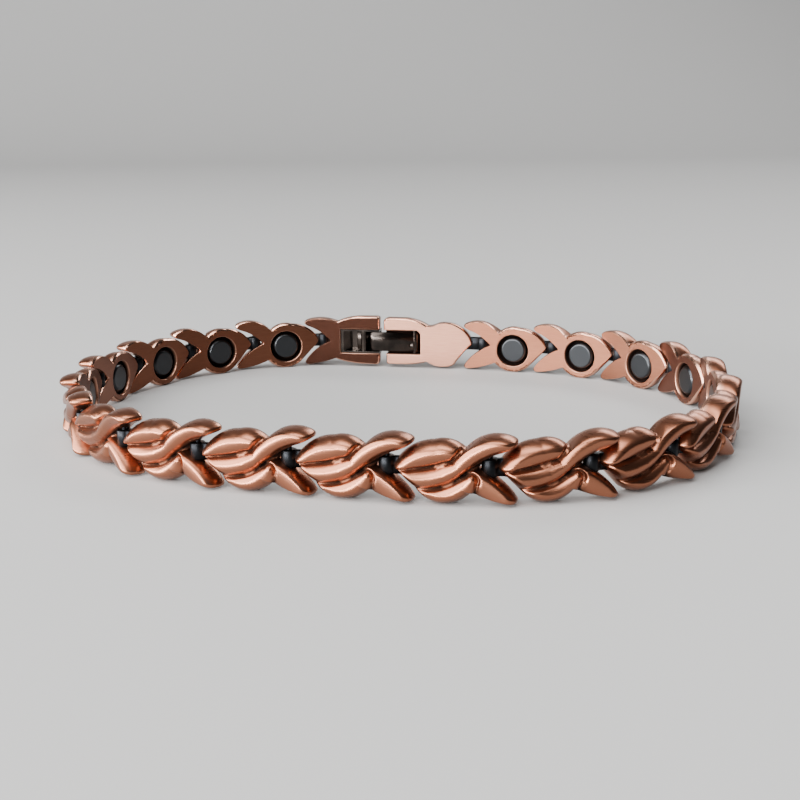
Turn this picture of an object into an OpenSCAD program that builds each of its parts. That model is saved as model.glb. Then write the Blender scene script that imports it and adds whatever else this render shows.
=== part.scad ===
// Magnetic link bracelet, fastened and lying on its side edge.
// Lengths are in millimetres, +Z is up, and the loop's axis is vertical.
// A link's own frame: X runs from tail to nose, Y is up, and Z points to the wrist.
// The inner face is the plane Z = 0 and the braid is raised on the far side.

/* [Chain] */
// Number of links that hold a magnet
magnet_links = 20; // [12:1:26]
// Gap from a nose tip to the bottom of the next fork
hinge_gap = 1.7; // [1.6:0.05:2.2]
// Gap from the clasp's nose tip to the bottom of the next fork
clasp_hinge_gap = 2.4; // [2.2:0.05:2.8]

/* [Loop seen from above] */
// Share by which the loop is wider than round
loop_oval = 0.097; // [-0.1:0.001:0.15]
// Share by which the loop leans to one diagonal
loop_lean = -0.065; // [-0.08:0.001:0.08]
// Share by which the four sides are flattened
loop_square = -0.015; // [-0.02:0.001:0.02]
// Share by which two opposite quarters bulge
loop_corner = 0.018; // [-0.03:0.001:0.03]
// Direction in which the clasp's nose pin lies
clasp_bearing = 70.9; // [50:0.1:100]

/* [Link] */
// Radius of the round body
body_r = 3; // [2.8:0.05:3.4]
// Body centre to the nose tip
nose_len = 4.6; // [4.3:0.05:5]
// Body centre to the prong tips
tail_len = 6.75; // [6.4:0.05:6.9]
// Body centre to the bottom of the fork
fork_depth = 3.2; // [3.1:0.05:3.5]
// Height of the nose tip and of the fork's bottom above the body centre
axis_rise = 0.6; // [0.5:0.05:0.75]
// Thickness of the plate under the braid
plate_t = 1.35; // [1.3:0.05:1.8]
// Height of the braid above the plate
braid_h = 1.1; // [0.8:0.05:1.3]

/* [Magnet] */
// Diameter of a magnet
magnet_d = 3.5; // [3:0.1:3.7]
// Thickness of a magnet
magnet_t = 0.85; // [0.6:0.05:0.95]
// Bevel round a magnet's face
magnet_bevel = 0.28; // [0.1:0.02:0.35]
// Gap round a magnet
magnet_gap = 0.36; // [0.1:0.02:0.4]
// Depth of a magnet's face below the link's face
magnet_sink = 0.15; // [0.05:0.05:0.3]

/* [Hinge] */
// Diameter of a hinge pin
pin_d = 0.55; // [0.4:0.05:0.6]
// Radius of a connector's knuckle
knuckle_r = 0.46; // [0.42:0.02:0.5]
// Thickness of a connector between its knuckles
web_t = 0.6; // [0.4:0.05:0.8]
// Height of a connector
connector_h = 1.1; // [0.8:0.05:1.2]
// Depth of the pins below the inner face
pin_depth = 0.82; // [0.8:0.02:0.9]
// Nose tip to the pin behind it
nose_pin_back = 0.88; // [0.8:0.02:1]
// Bottom of the fork to the pin in its mouth
fork_pin_out = 0.98; // [0.9:0.02:1.1]
// Running gap round a pin
pin_gap = 0.05; // [0.03:0.01:0.08]
// Running gap round a connector
connector_gap = 0.09; // [0.06:0.01:0.12]

/* [Clasp] */
// Length of the two arms of the fork piece past its waist
arm_len = 6; // [5.8:0.1:7]
// Gap between the fork piece and the nose piece
clasp_gap = 0.55; // [0.4:0.05:1]
// Length of the two prongs of the nose piece to the end of its pocket
prong_len = 5.05; // [4.8:0.05:5.6]
// Height of the fork piece across its arms
clasp_h = 6.6; // [6.5:0.05:7.2]
// Height of the pocket in both pieces
pocket_h = 3.3; // [3.1:0.05:3.5]
// Depth of the pocket in both pieces
pocket_t = 1.75; // [1.7:0.05:1.85]
// Thickness of the steel box's walls and floor
box_wall = 0.2; // [0.18:0.02:0.3]
// Diameter of the box's crossbar
crossbar_d = 0.8; // [0.6:0.02:0.84]
// Thickness of the steel tongue
tongue_t = 0.34; // [0.26:0.02:0.36]
// Gap round the tongue and the box
clasp_clear = 0.08; // [0.05:0.01:0.1]

/* [Hidden] */
$fn = 48;

copper = "sienna";
steel = "dimgray";
hematite = "darkslategray";

link_t = plate_t + braid_h;
bore_r = magnet_d / 2 + magnet_gap;
bore_t = magnet_sink + magnet_t + clasp_clear;
base_rise = body_r - 0.03 * body_r;
pin_r = pin_d / 2;
pin_bore_r = pin_r + pin_gap;
fork_pin_x = -fork_depth - fork_pin_out;
nose_pin_x = nose_len - nose_pin_back;
link_span = nose_pin_x - fork_pin_x;
hinge_span = nose_pin_back + hinge_gap - fork_pin_out;
clasp_hinge_span = nose_pin_back + clasp_hinge_gap - fork_pin_out;
knuckle_y = axis_rise - connector_h / 2;

// The clasp's frame is the frame that a link on its fork would have.
waist_x = -0.75 * body_r;
arm_end = waist_x + arm_len;
nose_start = arm_end + clasp_gap;
pocket_end = nose_start + prong_len;
nose_body_x = pocket_end + 0.83 * body_r;
clasp_nose_pin_x = nose_body_x + nose_pin_x;
clasp_span = clasp_nose_pin_x - fork_pin_x;
pocket_low = axis_rise - pocket_h / 2;
pocket_top = axis_rise + pocket_h / 2;
clasp_top = axis_rise + 0.52 * clasp_h;
clasp_low = clasp_top - clasp_h;

function numbered(name, i) = str(name, i < 10 ? "_0" : "_", i);

// Circles through three points, and the arc from the first to the third
function cross_z(a, b) = a.x * b.y - a.y * b.x;
function circle_centre(a, b, c) =
    let (u = b - a, v = c - a, d = 2 * cross_z(u, v))
    a + [v.y * (u * u) - u.y * (v * v), u.x * (v * v) - v.x * (u * u)] / d;
function bearing(p) = atan2(p.y, p.x);
function turned(a, way) = way > 0 ? (a < 0 ? a + 360 : a) : (a > 0 ? a - 360 : a);
function arc_sweep(a, b, c) =
    let (m = circle_centre(a, b, c))
    turned(bearing(c - m) - bearing(a - m) - 360 * round((bearing(c - m) - bearing(a - m)) / 360),
           cross_z(b - a, c - b));
function arc_through(a, b, c, steps) =
    let (m = circle_centre(a, b, c), r = norm(a - m), sweep = arc_sweep(a, b, c))
    [for (i = [0:steps]) let (t = bearing(a - m) + sweep * i / steps) m + r * [cos(t), sin(t)]];

// Points of an outline as shares: along the tail or the nose, and of the body's radius upwards
function tail(s, h) = [-s * tail_len, h * body_r];
function nose(s, h) = [s * nose_len, h * body_r];
function fork(s, h) = [-fork_depth - s * (tail_len - fork_depth), axis_rise + h * body_r];

fork_bottom = fork(0.015, 0);
cross_point = tail(0.207, 0.25);
top_waist = tail(0.29, 0.79);
low_waist = tail(0.37, -0.62);

// The fork and its two prongs, from the top waist round to the low waist
function fork_outline(high, low) = concat(
    arc_through(high, tail(0.655, 1.225), tail(0.95, 1.135), 8),
    arc_through(tail(0.975, 1.1), tail(1, 1), tail(0.97, 0.91), 3),
    arc_through(tail(0.95, 0.88), fork(0.48, 0.47), fork(0.06, 0.07), 6),
    [fork_bottom],
    arc_through(fork(0.06, -0.045), fork(0.55, -0.4), tail(0.965, -0.66), 6),
    arc_through(tail(0.985, -0.74), tail(1, -0.84), tail(0.97, -0.92), 3),
    arc_through(tail(0.94, -0.935), tail(0.68, -0.84), low, 5)
);

// The nose and the round body, from the low waist round to the top waist
function nose_outline() = concat(
    arc_through(low_waist, nose(0, -0.97), nose(0.43, -0.74), 9),
    [nose(0.935, 0.06), nose(0.98, 0.12)],
    [nose(1, 0.2), nose(0.99, 0.28)],
    arc_through(nose(0.96, 0.36), nose(0.66, 0.8), nose(0.2, 1.01), 6),
    arc_through(nose(0.08, 1.04), nose(-0.15, 1.02), top_waist, 4)
);

module link_outline() {
    polygon(concat(fork_outline(top_waist + [-0.12, 0], low_waist + [-0.15, 0]), nose_outline()));
}

// Outline of a raised strand along the arc through three points, its width the share w of full.
// It is narrower at its ends by the share taper, and a narrow one is a little shorter too.
module band(a, b, c, full, w, taper) {
    steps = 8;
    trim = 0.1 * (1 - w);
    m = circle_centre(a, b, c);
    r = norm(a - m);
    turn = [for (i = [0:steps]) bearing(a - m) + arc_sweep(a, b, c) * (trim + (1 - 2 * trim) * i / steps)];
    half = [for (i = [0:steps]) full * w / 2 * (1 - taper * pow(2 * i / steps - 1, 4))];
    outer = [for (i = [0:steps]) m + (r + half[i]) * [cos(turn[i]), sin(turn[i])]];
    inner = [for (i = [steps:-1:0]) m + (r - half[i]) * [cos(turn[i]), sin(turn[i])]];
    polygon(concat(outer, inner));
}

// The braid's outline over the body and the nose, as wide as the share w
module body_bands(w) {
    band(nose(1.03, 0.21), nose(0.37, 0.65), tail(0.2, 0.76), 0.78 * body_r, w, 0.6);
    band(nose(0.86, -0.1), nose(0.22, -0.095), cross_point, 0.56 * body_r, w, 0.3);
    band(nose(0.84, -0.3), nose(0.07, -0.78), tail(0.4, -0.1), 0.62 * body_r, w, 0.45);
}

// The braid's outline over the fork, as wide as the share w
module fork_bands(w) {
    band(cross_point + [0.25, -0.15], tail(0.475, 0.76), tail(1.05, 1.05), 0.66 * body_r, w, 0.3);
    band(tail(0.42, 0), tail(0.67, -0.4), tail(1.02, -0.95), 0.8 * body_r, w, 0.5);
}

// A plate with its braid in two steps: children are the outline, the wide braid and the narrow braid
module braided_plate(t) {
    translate([0, 0, -t])
        linear_extrude(t)
            children(0);
    translate([0, 0, -plate_t - 0.6 * braid_h])
        linear_extrude(plate_t + 0.6 * braid_h - 0.2)
            intersection() {
                children(0);
                children(1);
            }
    translate([0, 0, -link_t])
        linear_extrude(link_t - plate_t + 0.1)
            intersection() {
                children(0);
                children(2);
            }
}

// Room for a connector's knuckle and its pin in the fork
module fork_hinge_room() {
    translate([fork_pin_x, 0, -pin_depth]) {
        translate([0, knuckle_y - connector_gap, 0])
            rotate([-90, 0, 0])
                cylinder(r = knuckle_r + connector_gap, h = connector_h + 2 * connector_gap);
        translate([0, -0.55 * body_r, 0])
            rotate([-90, 0, 0])
                cylinder(r = pin_bore_r, h = 2.5 * body_r);
    }
}

// Room for a connector's knuckle and its pin in the nose
module nose_hinge_room() {
    room_r = knuckle_r + connector_gap;
    translate([nose_pin_x, 0, -pin_depth]) {
        translate([-room_r, knuckle_y - connector_gap, -room_r])
            cube([nose_len, connector_h + 2 * connector_gap, 2 * room_r]);
        translate([0, -body_r, 0])
            rotate([-90, 0, 0])
                cylinder(r = pin_bore_r, h = 2.5 * body_r);
    }
}

// One link in its own frame
module plain_link() {
    difference() {
        braided_plate(plate_t) {
            link_outline();
            union() {
                body_bands(1);
                fork_bands(1);
            }
            union() {
                body_bands(0.55);
                fork_bands(0.55);
            }
        }
        translate([0, 0, -bore_t])
            cylinder(r = bore_r, h = 2 * bore_t);
        fork_hinge_room();
        nose_hinge_room();
    }
}

// One magnet in its link's frame
module plain_magnet() {
    r = magnet_d / 2;
    translate([0, 0, -magnet_sink - magnet_t])
        rotate_extrude()
            polygon([[0, 0], [r, 0], [r, magnet_t - magnet_bevel], [r - magnet_bevel, magnet_t], [0, magnet_t]]);
}

// The braid's outline over the fork piece and its arms, as wide as the share w
module arm_bands(w) {
    fork_bands(w);
    band(cross_point + [0.3, -0.3], [waist_x + 0.3 * arm_len, 0.75 * body_r], [arm_end, clasp_top - 0.8],
         0.5 * body_r, w, 0);
    band([waist_x, 0.5 * body_r], [waist_x + 0.5 * arm_len, -0.05 * body_r], [arm_end, 0.1 * body_r],
         0.5 * body_r, w, 0);
    band([waist_x - 1, -0.4 * body_r], [waist_x + 0.5 * arm_len, clasp_low + 1], [arm_end, clasp_low + 0.8],
         0.5 * body_r, w, 0);
}

// The braid's outline over the nose piece and its prongs, as wide as the share w
module prong_bands(w) {
    translate([nose_body_x, 0])
        body_bands(w);
    band([nose_start, 0.95 * body_r], [pocket_end, 0.9 * body_r], [nose_body_x, 0.2 * body_r],
         0.5 * body_r, w, 0);
    band([nose_start, 0.1 * body_r], [pocket_end - 2, 0], [pocket_end + 1, 0.5 * body_r],
         0.5 * body_r, w, 0);
    band([nose_start, -0.5 * body_r], [pocket_end - 1, -0.42 * body_r], [nose_body_x + 0.5, -0.65 * body_r],
         0.5 * body_r, w, 0);
}

// Points of the clasp's outlines as shares: of an arm's length, or from the solid body to its nose tip
function arm(s, h) = [waist_x + s * arm_len, h * body_r];
function clasp_body(s, h) = [nose_body_x + s * nose_len, h * body_r];

// The clasp's left piece: a fork that runs on into two arms round a pocket
module fork_piece() {
    arm_round = 0.4;
    outline = concat(
        fork_outline(arm(0.01, 1.09), arm(-0.04, -0.63)),
        arc_through(arm(-0.01, -0.65), arm(0.25, -0.78), [arm(0.58, 0).x, clasp_low], 4),
        arc_through([arm_end - 1.5 * arm_round, clasp_low], [arm_end - 0.5 * arm_round, clasp_low + 0.3 * arm_round],
                    [arm_end - 0.2 * arm_round, clasp_low + arm_round], 2),
        arc_through([arm_end, clasp_top - arm_round], [arm_end - 0.3 * arm_round, clasp_top - 0.3 * arm_round],
                    [arm_end - arm_round, clasp_top], 2),
        arc_through([arm(0.52, 0).x, clasp_top], arm(0.26, 1.27), arm(0.04, 1.11), 5)
    );
    difference() {
        braided_plate(plate_t + 0.5 * braid_h) {
            polygon(outline);
            arm_bands(1);
            arm_bands(0.55);
        }
        translate([waist_x + 0.2 * body_r, pocket_low, -pocket_t])
            cube([2 * arm_len, pocket_h, 2 * pocket_t]);
        fork_hinge_room();
    }
}

// The clasp's right piece: two prongs round a pocket, a solid body and a nose
module nose_piece() {
    prong_round = 0.4;
    pocket_corner = 0.15 * body_r;
    pocket_start = pocket_end - 2 * prong_len;
    outline = concat(
        arc_through(clasp_body(-0.3, -0.72), clasp_body(0.05, -0.9), clasp_body(0.4, -0.82), 6),
        arc_through(clasp_body(0.46, -0.76), clasp_body(0.68, -0.31), clasp_body(0.94, 0.12), 3),
        [clasp_body(0.985, 0.2), clasp_body(0.985, 0.3)],
        arc_through(clasp_body(0.95, 0.42), clasp_body(0.58, 0.99), clasp_body(0.12, 1.12), 6),
        arc_through(clasp_body(0.02, 1.1), clasp_body(-0.09, 1.02), clasp_body(-0.24, 0.96), 2),
        arc_through(clasp_body(-0.33, 0.97), clasp_body(-0.62, 1.18), [pocket_end - 0.4 * prong_len, 1.3 * body_r], 4),
        [[nose_start + 2 * prong_round, 1.3 * body_r], [nose_start + prong_round, 1.26 * body_r]],
        [[nose_start + 0.1, 1.15 * body_r], [nose_start, 1.02 * body_r]],
        [[nose_start, pocket_top - pocket_corner], [nose_start + 0.8 * prong_round, pocket_low + pocket_corner]],
        [[nose_start + 0.8 * prong_round, -0.7 * body_r], [nose_start + 1.8 * prong_round, -0.82 * body_r]],
        arc_through([pocket_end - 0.5 * prong_len, -0.83 * body_r], [pocket_end - 0.12 * prong_len, -0.79 * body_r],
                    clasp_body(-0.37, -0.69), 3)
    );
    difference() {
        braided_plate(plate_t + 0.5 * braid_h) {
            polygon(outline);
            prong_bands(1);
            prong_bands(0.55);
        }
        translate([0, 0, -pocket_t])
            linear_extrude(2 * pocket_t)
                polygon([[pocket_start, pocket_low], [pocket_end, pocket_low], [pocket_end, pocket_top - pocket_corner],
                         [pocket_end - pocket_corner, pocket_top], [pocket_start, pocket_top]]);
        translate([nose_body_x, 0, 0])
            nose_hinge_room();
        translate([tongue_pin_x, -0.5 * body_r, -pin_depth])
            rotate([-90, 0, 0])
                cylinder(r = pin_bore_r, h = 2.5 * body_r);
    }
}

// The steel box in the fork piece's pocket, with its crossbar
box_start = waist_x + 0.2 * body_r + clasp_clear;
box_low = pocket_low + clasp_clear;
box_h = pocket_h - 2 * clasp_clear;
box_floor = -pocket_t + clasp_clear;
box_end_wall = 0.38 * body_r;
crossbar_x = box_start + box_end_wall + 0.64 * body_r;
crossbar_z = -magnet_sink - crossbar_d / 2;

module box_piece() {
    inner_start = box_start + box_end_wall;
    bevel = 0.7 * box_end_wall;
    difference() {
        translate([box_start, box_low, box_floor])
            cube([arm_end - box_start, box_h, -box_floor - clasp_clear]);
        translate([inner_start, box_low + box_wall, box_floor + box_wall])
            cube([arm_len, box_h - 2 * box_wall, pocket_t]);
        translate([inner_start, box_low + box_wall, -clasp_clear])
            rotate([-90, 0, 0])
                linear_extrude(box_h - 2 * box_wall)
                    polygon([[0.1, -0.1], [-bevel, -0.1], [-bevel, 0], [0.1, bevel]]);
    }
    translate([crossbar_x, box_low + box_wall / 2, crossbar_z])
        rotate([-90, 0, 0])
            cylinder(d = crossbar_d, h = box_h - box_wall);
}

// The steel tongue: flat over the gap, bent down, and hooked under the crossbar
tongue_pin_x = pocket_end - 0.3 * body_r;
tongue_h = box_h - 2 * box_wall - 2 * clasp_clear;
tongue_knuckle_r = pin_bore_r + 0.3;
tongue_top = -pin_depth + tongue_knuckle_r;
tongue_bend_r = tongue_t + 0.5;
tongue_bend_x = crossbar_x + crossbar_d / 2 + clasp_clear + 0.2;
hook_low = box_floor + box_wall + clasp_clear;
hook_tip_x = crossbar_x - 0.35 * body_r;

module tongue_profile() {
    translate([tongue_bend_x + tongue_bend_r, tongue_top - tongue_bend_r])
        intersection() {
            difference() {
                circle(tongue_bend_r);
                circle(tongue_bend_r - tongue_t);
            }
            translate([-2 * tongue_bend_r, 0])
                square(2 * tongue_bend_r);
        }
    translate([tongue_bend_x + tongue_bend_r - 0.01, tongue_top - tongue_t])
        square([tongue_pin_x - tongue_bend_x - tongue_bend_r, tongue_t]);
    translate([tongue_bend_x, hook_low])
        square([tongue_t, tongue_top - tongue_bend_r - hook_low + 0.01]);
    translate([hook_tip_x, hook_low])
        square([tongue_bend_x - hook_tip_x + tongue_t / 2, tongue_t]);
    translate([tongue_pin_x, -pin_depth])
        circle(tongue_knuckle_r);
}

module tongue_piece() {
    translate([0, axis_rise + tongue_h / 2, 0])
        rotate([90, 0, 0])
            linear_extrude(tongue_h)
                difference() {
                    tongue_profile();
                    translate([tongue_pin_x, -pin_depth])
                        circle(pin_bore_r);
                }
}

// The loop's centre line, its size found so that the closed chain has its real length
function loop_share(a) =
    1 + loop_oval * cos(2 * a) + loop_lean * sin(2 * a) + loop_square * cos(4 * a) + loop_corner * sin(4 * a);
function loop_point(size, a) = size * loop_share(a) * [cos(a), sin(a)];
function chord_end(size, a, from, chord, guess, tries) =
    tries == 0 ? a - guess :
    let (miss = norm(loop_point(size, a - guess) - from) - chord)
    chord_end(size, a, from, chord, guess - miss / size * 180 / PI, tries - 1);
spans = [for (i = [0:2 * magnet_links]) i == 0 ? clasp_hinge_span : i % 2 == 0 ? hinge_span : link_span];
function walk(size, a, i) =
    i == len(spans) ? [a] :
    concat([a], walk(size, chord_end(size, a, loop_point(size, a), spans[i], spans[i] / size * 180 / PI, 6), i + 1));
function closing_miss(size) =
    let (a = walk(size, clasp_bearing, 0), last = a[len(a) - 1])
    clasp_bearing - last >= 360 ? -clasp_span :
    norm(loop_point(size, last) - loop_point(size, clasp_bearing)) - clasp_span;
function solve_size(low, high, tries) =
    let (mid = (low + high) / 2)
    tries == 0 ? mid :
    closing_miss(mid) > 0 ? solve_size(low, mid, tries - 1) : solve_size(mid, high, tries - 1);
chain_len = magnet_links * (link_span + hinge_span) + clasp_hinge_span + clasp_span;
loop_size = solve_size(0.8 * chain_len / (2 * PI), 1.2 * chain_len / (2 * PI), 30);
hinge_bearings = walk(loop_size, clasp_bearing, 0);
raw_points = [for (a = hinge_bearings) loop_point(loop_size, a)];
hinge_count = len(raw_points);

// Plan corners of every piece, which centre the loop's box on the origin
function heading(from, to) = bearing(to - from);
function placed(from, to, x, z) =
    let (h = heading(from, to))
    from + (x - fork_pin_x) * [cos(h), sin(h)] + (z + pin_depth) * [sin(h), -cos(h)];
function plan_corners(from, to, reach) = [
    for (p = [[-tail_len, 0], [reach, 0], [-0.94 * tail_len, -plate_t - 0.8 * braid_h],
              [reach, -plate_t - 0.2 * braid_h], [-0.3 * tail_len, -link_t], [reach - nose_len, -link_t]])
        placed(from, to, p.x, p.y)
];
all_corners = concat(
    [for (i = [1:magnet_links], p = plan_corners(raw_points[2 * i - 1], raw_points[2 * i], nose_len)) p],
    plan_corners(raw_points[hinge_count - 1], raw_points[0], nose_body_x + nose_len)
);
corner_x = [for (p = all_corners) p.x];
corner_y = [for (p = all_corners) p.y];
loop_centre = [max(corner_x) + min(corner_x), max(corner_y) + min(corner_y)] / 2;
hinge_points = [for (p = raw_points) p - loop_centre];

// Puts a child from a link's frame where its fork pin and nose pin stand
module on_pins(from, to) {
    translate([from.x, from.y, base_rise])
        rotate([90, 0, heading(from, to)])
            translate([-fork_pin_x, 0, pin_depth])
                children();
}

module on_link(i) {
    on_pins(hinge_points[2 * i - 1], hinge_points[2 * i])
        children();
}

module on_clasp() {
    on_pins(hinge_points[hinge_count - 1], hinge_points[0])
        children();
}

module link(i) {
    color(copper)
        on_link(i)
            plain_link();
}

module magnet(i) {
    color(hematite)
        on_link(i)
            plain_magnet();
}

// One connector: two knuckles and the web between them
module connector(from, to) {
    translate([from.x, from.y, base_rise + knuckle_y])
        rotate([0, 0, heading(from, to)])
            linear_extrude(connector_h)
                difference() {
                    union() {
                        circle(knuckle_r);
                        translate([norm(to - from), 0])
                            circle(knuckle_r);
                        translate([0, -web_t / 2])
                            square([norm(to - from), web_t]);
                    }
                    circle(pin_bore_r);
                    translate([norm(to - from), 0])
                        circle(pin_bore_r);
                }
}

module hinge_connectors() {
    color(steel)
        for (i = [0:magnet_links])
            connector(hinge_points[2 * i], hinge_points[2 * i + 1]);
}

// Pins in the noses are short, and those in the forks run through both prongs
module hinge_pins() {
    color(steel)
        for (i = [0:hinge_count - 1])
            let (low = i % 2 == 0 ? -0.08 * body_r : -0.5 * body_r,
                 top = i % 2 == 0 ? 0.48 * body_r : 1.1 * body_r)
                translate([hinge_points[i].x, hinge_points[i].y, base_rise + low])
                    cylinder(r = pin_r, h = top - low);
}

module clasp_fork() {
    color(copper)
        on_clasp()
            fork_piece();
}

module clasp_box() {
    color(steel)
        on_clasp()
            box_piece();
}

module clasp_nose() {
    color(copper)
        on_clasp()
            nose_piece();
}

module clasp_tongue() {
    color(steel)
        on_clasp()
            tongue_piece();
}

module clasp_pin() {
    color(steel)
        on_clasp()
            translate([tongue_pin_x, -0.45 * body_r, -pin_depth])
                rotate([-90, 0, 0])
                    cylinder(r = pin_r, h = 1.55 * body_r);
}

for (i = [1:magnet_links])
    link(i);
for (i = [1:magnet_links])
    magnet(i);
hinge_connectors();
hinge_pins();
clasp_fork();
clasp_box();
clasp_nose();
clasp_tongue();
clasp_pin();
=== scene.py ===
"""Magnetic link bracelet: its cast links, magnets and clasp, their finishes, and a plain studio.

Lengths are in millimetres until a mesh is made. A link's own frame has X from tail to nose,
Y up, and Z towards the wrist, with the inner face at Z = 0 and the braid on the far side.
The clasp's frame is the frame that a link on its fork would have.
"""

import logging
import math
from dataclasses import dataclass, field
from enum import Enum

import bpy
import numpy as np
from mathutils import Matrix, Vector


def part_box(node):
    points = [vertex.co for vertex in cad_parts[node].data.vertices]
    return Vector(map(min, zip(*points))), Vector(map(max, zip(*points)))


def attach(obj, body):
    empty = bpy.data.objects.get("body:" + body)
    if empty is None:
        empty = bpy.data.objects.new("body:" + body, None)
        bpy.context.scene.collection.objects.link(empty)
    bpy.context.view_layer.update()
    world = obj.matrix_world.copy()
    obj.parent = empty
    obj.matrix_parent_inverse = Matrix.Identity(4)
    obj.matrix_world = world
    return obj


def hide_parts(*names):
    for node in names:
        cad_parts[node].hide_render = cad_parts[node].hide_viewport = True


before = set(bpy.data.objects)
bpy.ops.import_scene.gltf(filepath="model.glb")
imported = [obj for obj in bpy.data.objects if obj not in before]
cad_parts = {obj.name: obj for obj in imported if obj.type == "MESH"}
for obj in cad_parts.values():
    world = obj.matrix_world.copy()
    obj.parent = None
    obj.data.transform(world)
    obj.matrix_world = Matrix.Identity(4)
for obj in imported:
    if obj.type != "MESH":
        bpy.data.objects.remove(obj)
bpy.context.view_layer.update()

MM = 0.001
LOG = logging.getLogger("bracelet")
Point = tuple[float, float]
Colour = tuple[float, float, float, float]
Place = tuple[float, float, float]
Socket = bpy.types.NodeSocket
Material = bpy.types.Material
NodeGroup = bpy.types.NodeTree
Piece = bpy.types.Object

# The range that most of a noise lies in, and the whole range of a mask.
NOISE = (0.3, 0.7)
FULL = (0.0, 1.0)
# Brush lines are noise drawn out along a piece.
LINE_STRETCH = (0.05, 1.0, 1.0)
# Degrees from one point to the next round a turned surface.
TURN_STEP = 5.0
# A direction that leans less than this towards a side never meets it.
NEAR_ZERO = 1e-6


class Slot(Enum):
    """The record's material slots."""

    COPPER = "copper"
    MAGNET = "magnet"
    STEEL = "steel"


def direction(angle: np.ndarray) -> np.ndarray:
    """Cosines and sines of angles in radians, one pair a row."""
    return np.stack([np.cos(angle), np.sin(angle)], axis=-1)


def circle_centre(a: np.ndarray, b: np.ndarray, c: np.ndarray) -> np.ndarray:
    """The centre of the circle through three points.

    Args:
        a: First point.
        b: Second point.
        c: Third point.

    Returns:
        The centre, from the two equations that make it as far from a as from b and from c.
    """
    u, v = b - a, c - a
    d = 2.0 * (u[0] * v[1] - u[1] * v[0])
    return a + np.array([v[1] * (u @ u) - u[1] * (v @ v), u[0] * (v @ v) - v[0] * (u @ u)]) / d


@dataclass(frozen=True)
class Line:
    """A straight run from one point to another."""

    start: Point
    end: Point

    def points(self, share: np.ndarray) -> np.ndarray:
        """Points at the given shares of its length.

        Args:
            share: Shares from 0 to 1.

        Returns:
            One point a row.
        """
        a, b = np.array(self.start, float), np.array(self.end, float)
        return a + (b - a) * share[:, None]


@dataclass(frozen=True)
class Arc:
    """A circular arc that starts at one point, passes through a second and ends at a third."""

    start: Point
    through: Point
    end: Point

    def parts(self) -> tuple[np.ndarray, float, float, float]:
        """Centre, radius, first angle and signed sweep of the arc.

        Returns:
            The sweep turns the way that the second point lies.
        """
        a, b, c = (np.array(p, float) for p in (self.start, self.through, self.end))
        m = circle_centre(a, b, c)
        first = math.atan2(a[1] - m[1], a[0] - m[0])
        last = math.atan2(c[1] - m[1], c[0] - m[0])
        u, v = b - a, c - b
        way = 1.0 if u[0] * v[1] - u[1] * v[0] > 0 else -1.0
        sweep = (last - first) % (2 * math.pi)
        if way < 0:
            sweep -= 2 * math.pi
        return m, float(np.hypot(*(a - m))), first, sweep

    def points(self, share: np.ndarray) -> np.ndarray:
        """Points at the given shares of the arc's length.

        Args:
            share: Shares from 0 to 1.

        Returns:
            One point a row: centre plus radius times the cosine and sine of the turned angle.
        """
        m, r, first, sweep = self.parts()
        return m + r * direction(first + sweep * share)

    def along_and_off(self, p: np.ndarray) -> tuple[np.ndarray, np.ndarray]:
        """Where points lie beside the arc.

        Args:
            p: Points, one a row.

        Returns:
            The share of the sweep that each point is level with, held between 0 and 1, and its
            distance from the arc there.
        """
        m, _, first, sweep = self.parts()
        q = p - m
        middle = first + sweep / 2
        turn = (np.arctan2(q[..., 1], q[..., 0]) - middle + np.pi) % (2 * np.pi) - np.pi
        share = np.clip(turn / sweep + 0.5, 0.0, 1.0)
        return share, np.linalg.norm(p - self.points(share), axis=-1)


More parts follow.
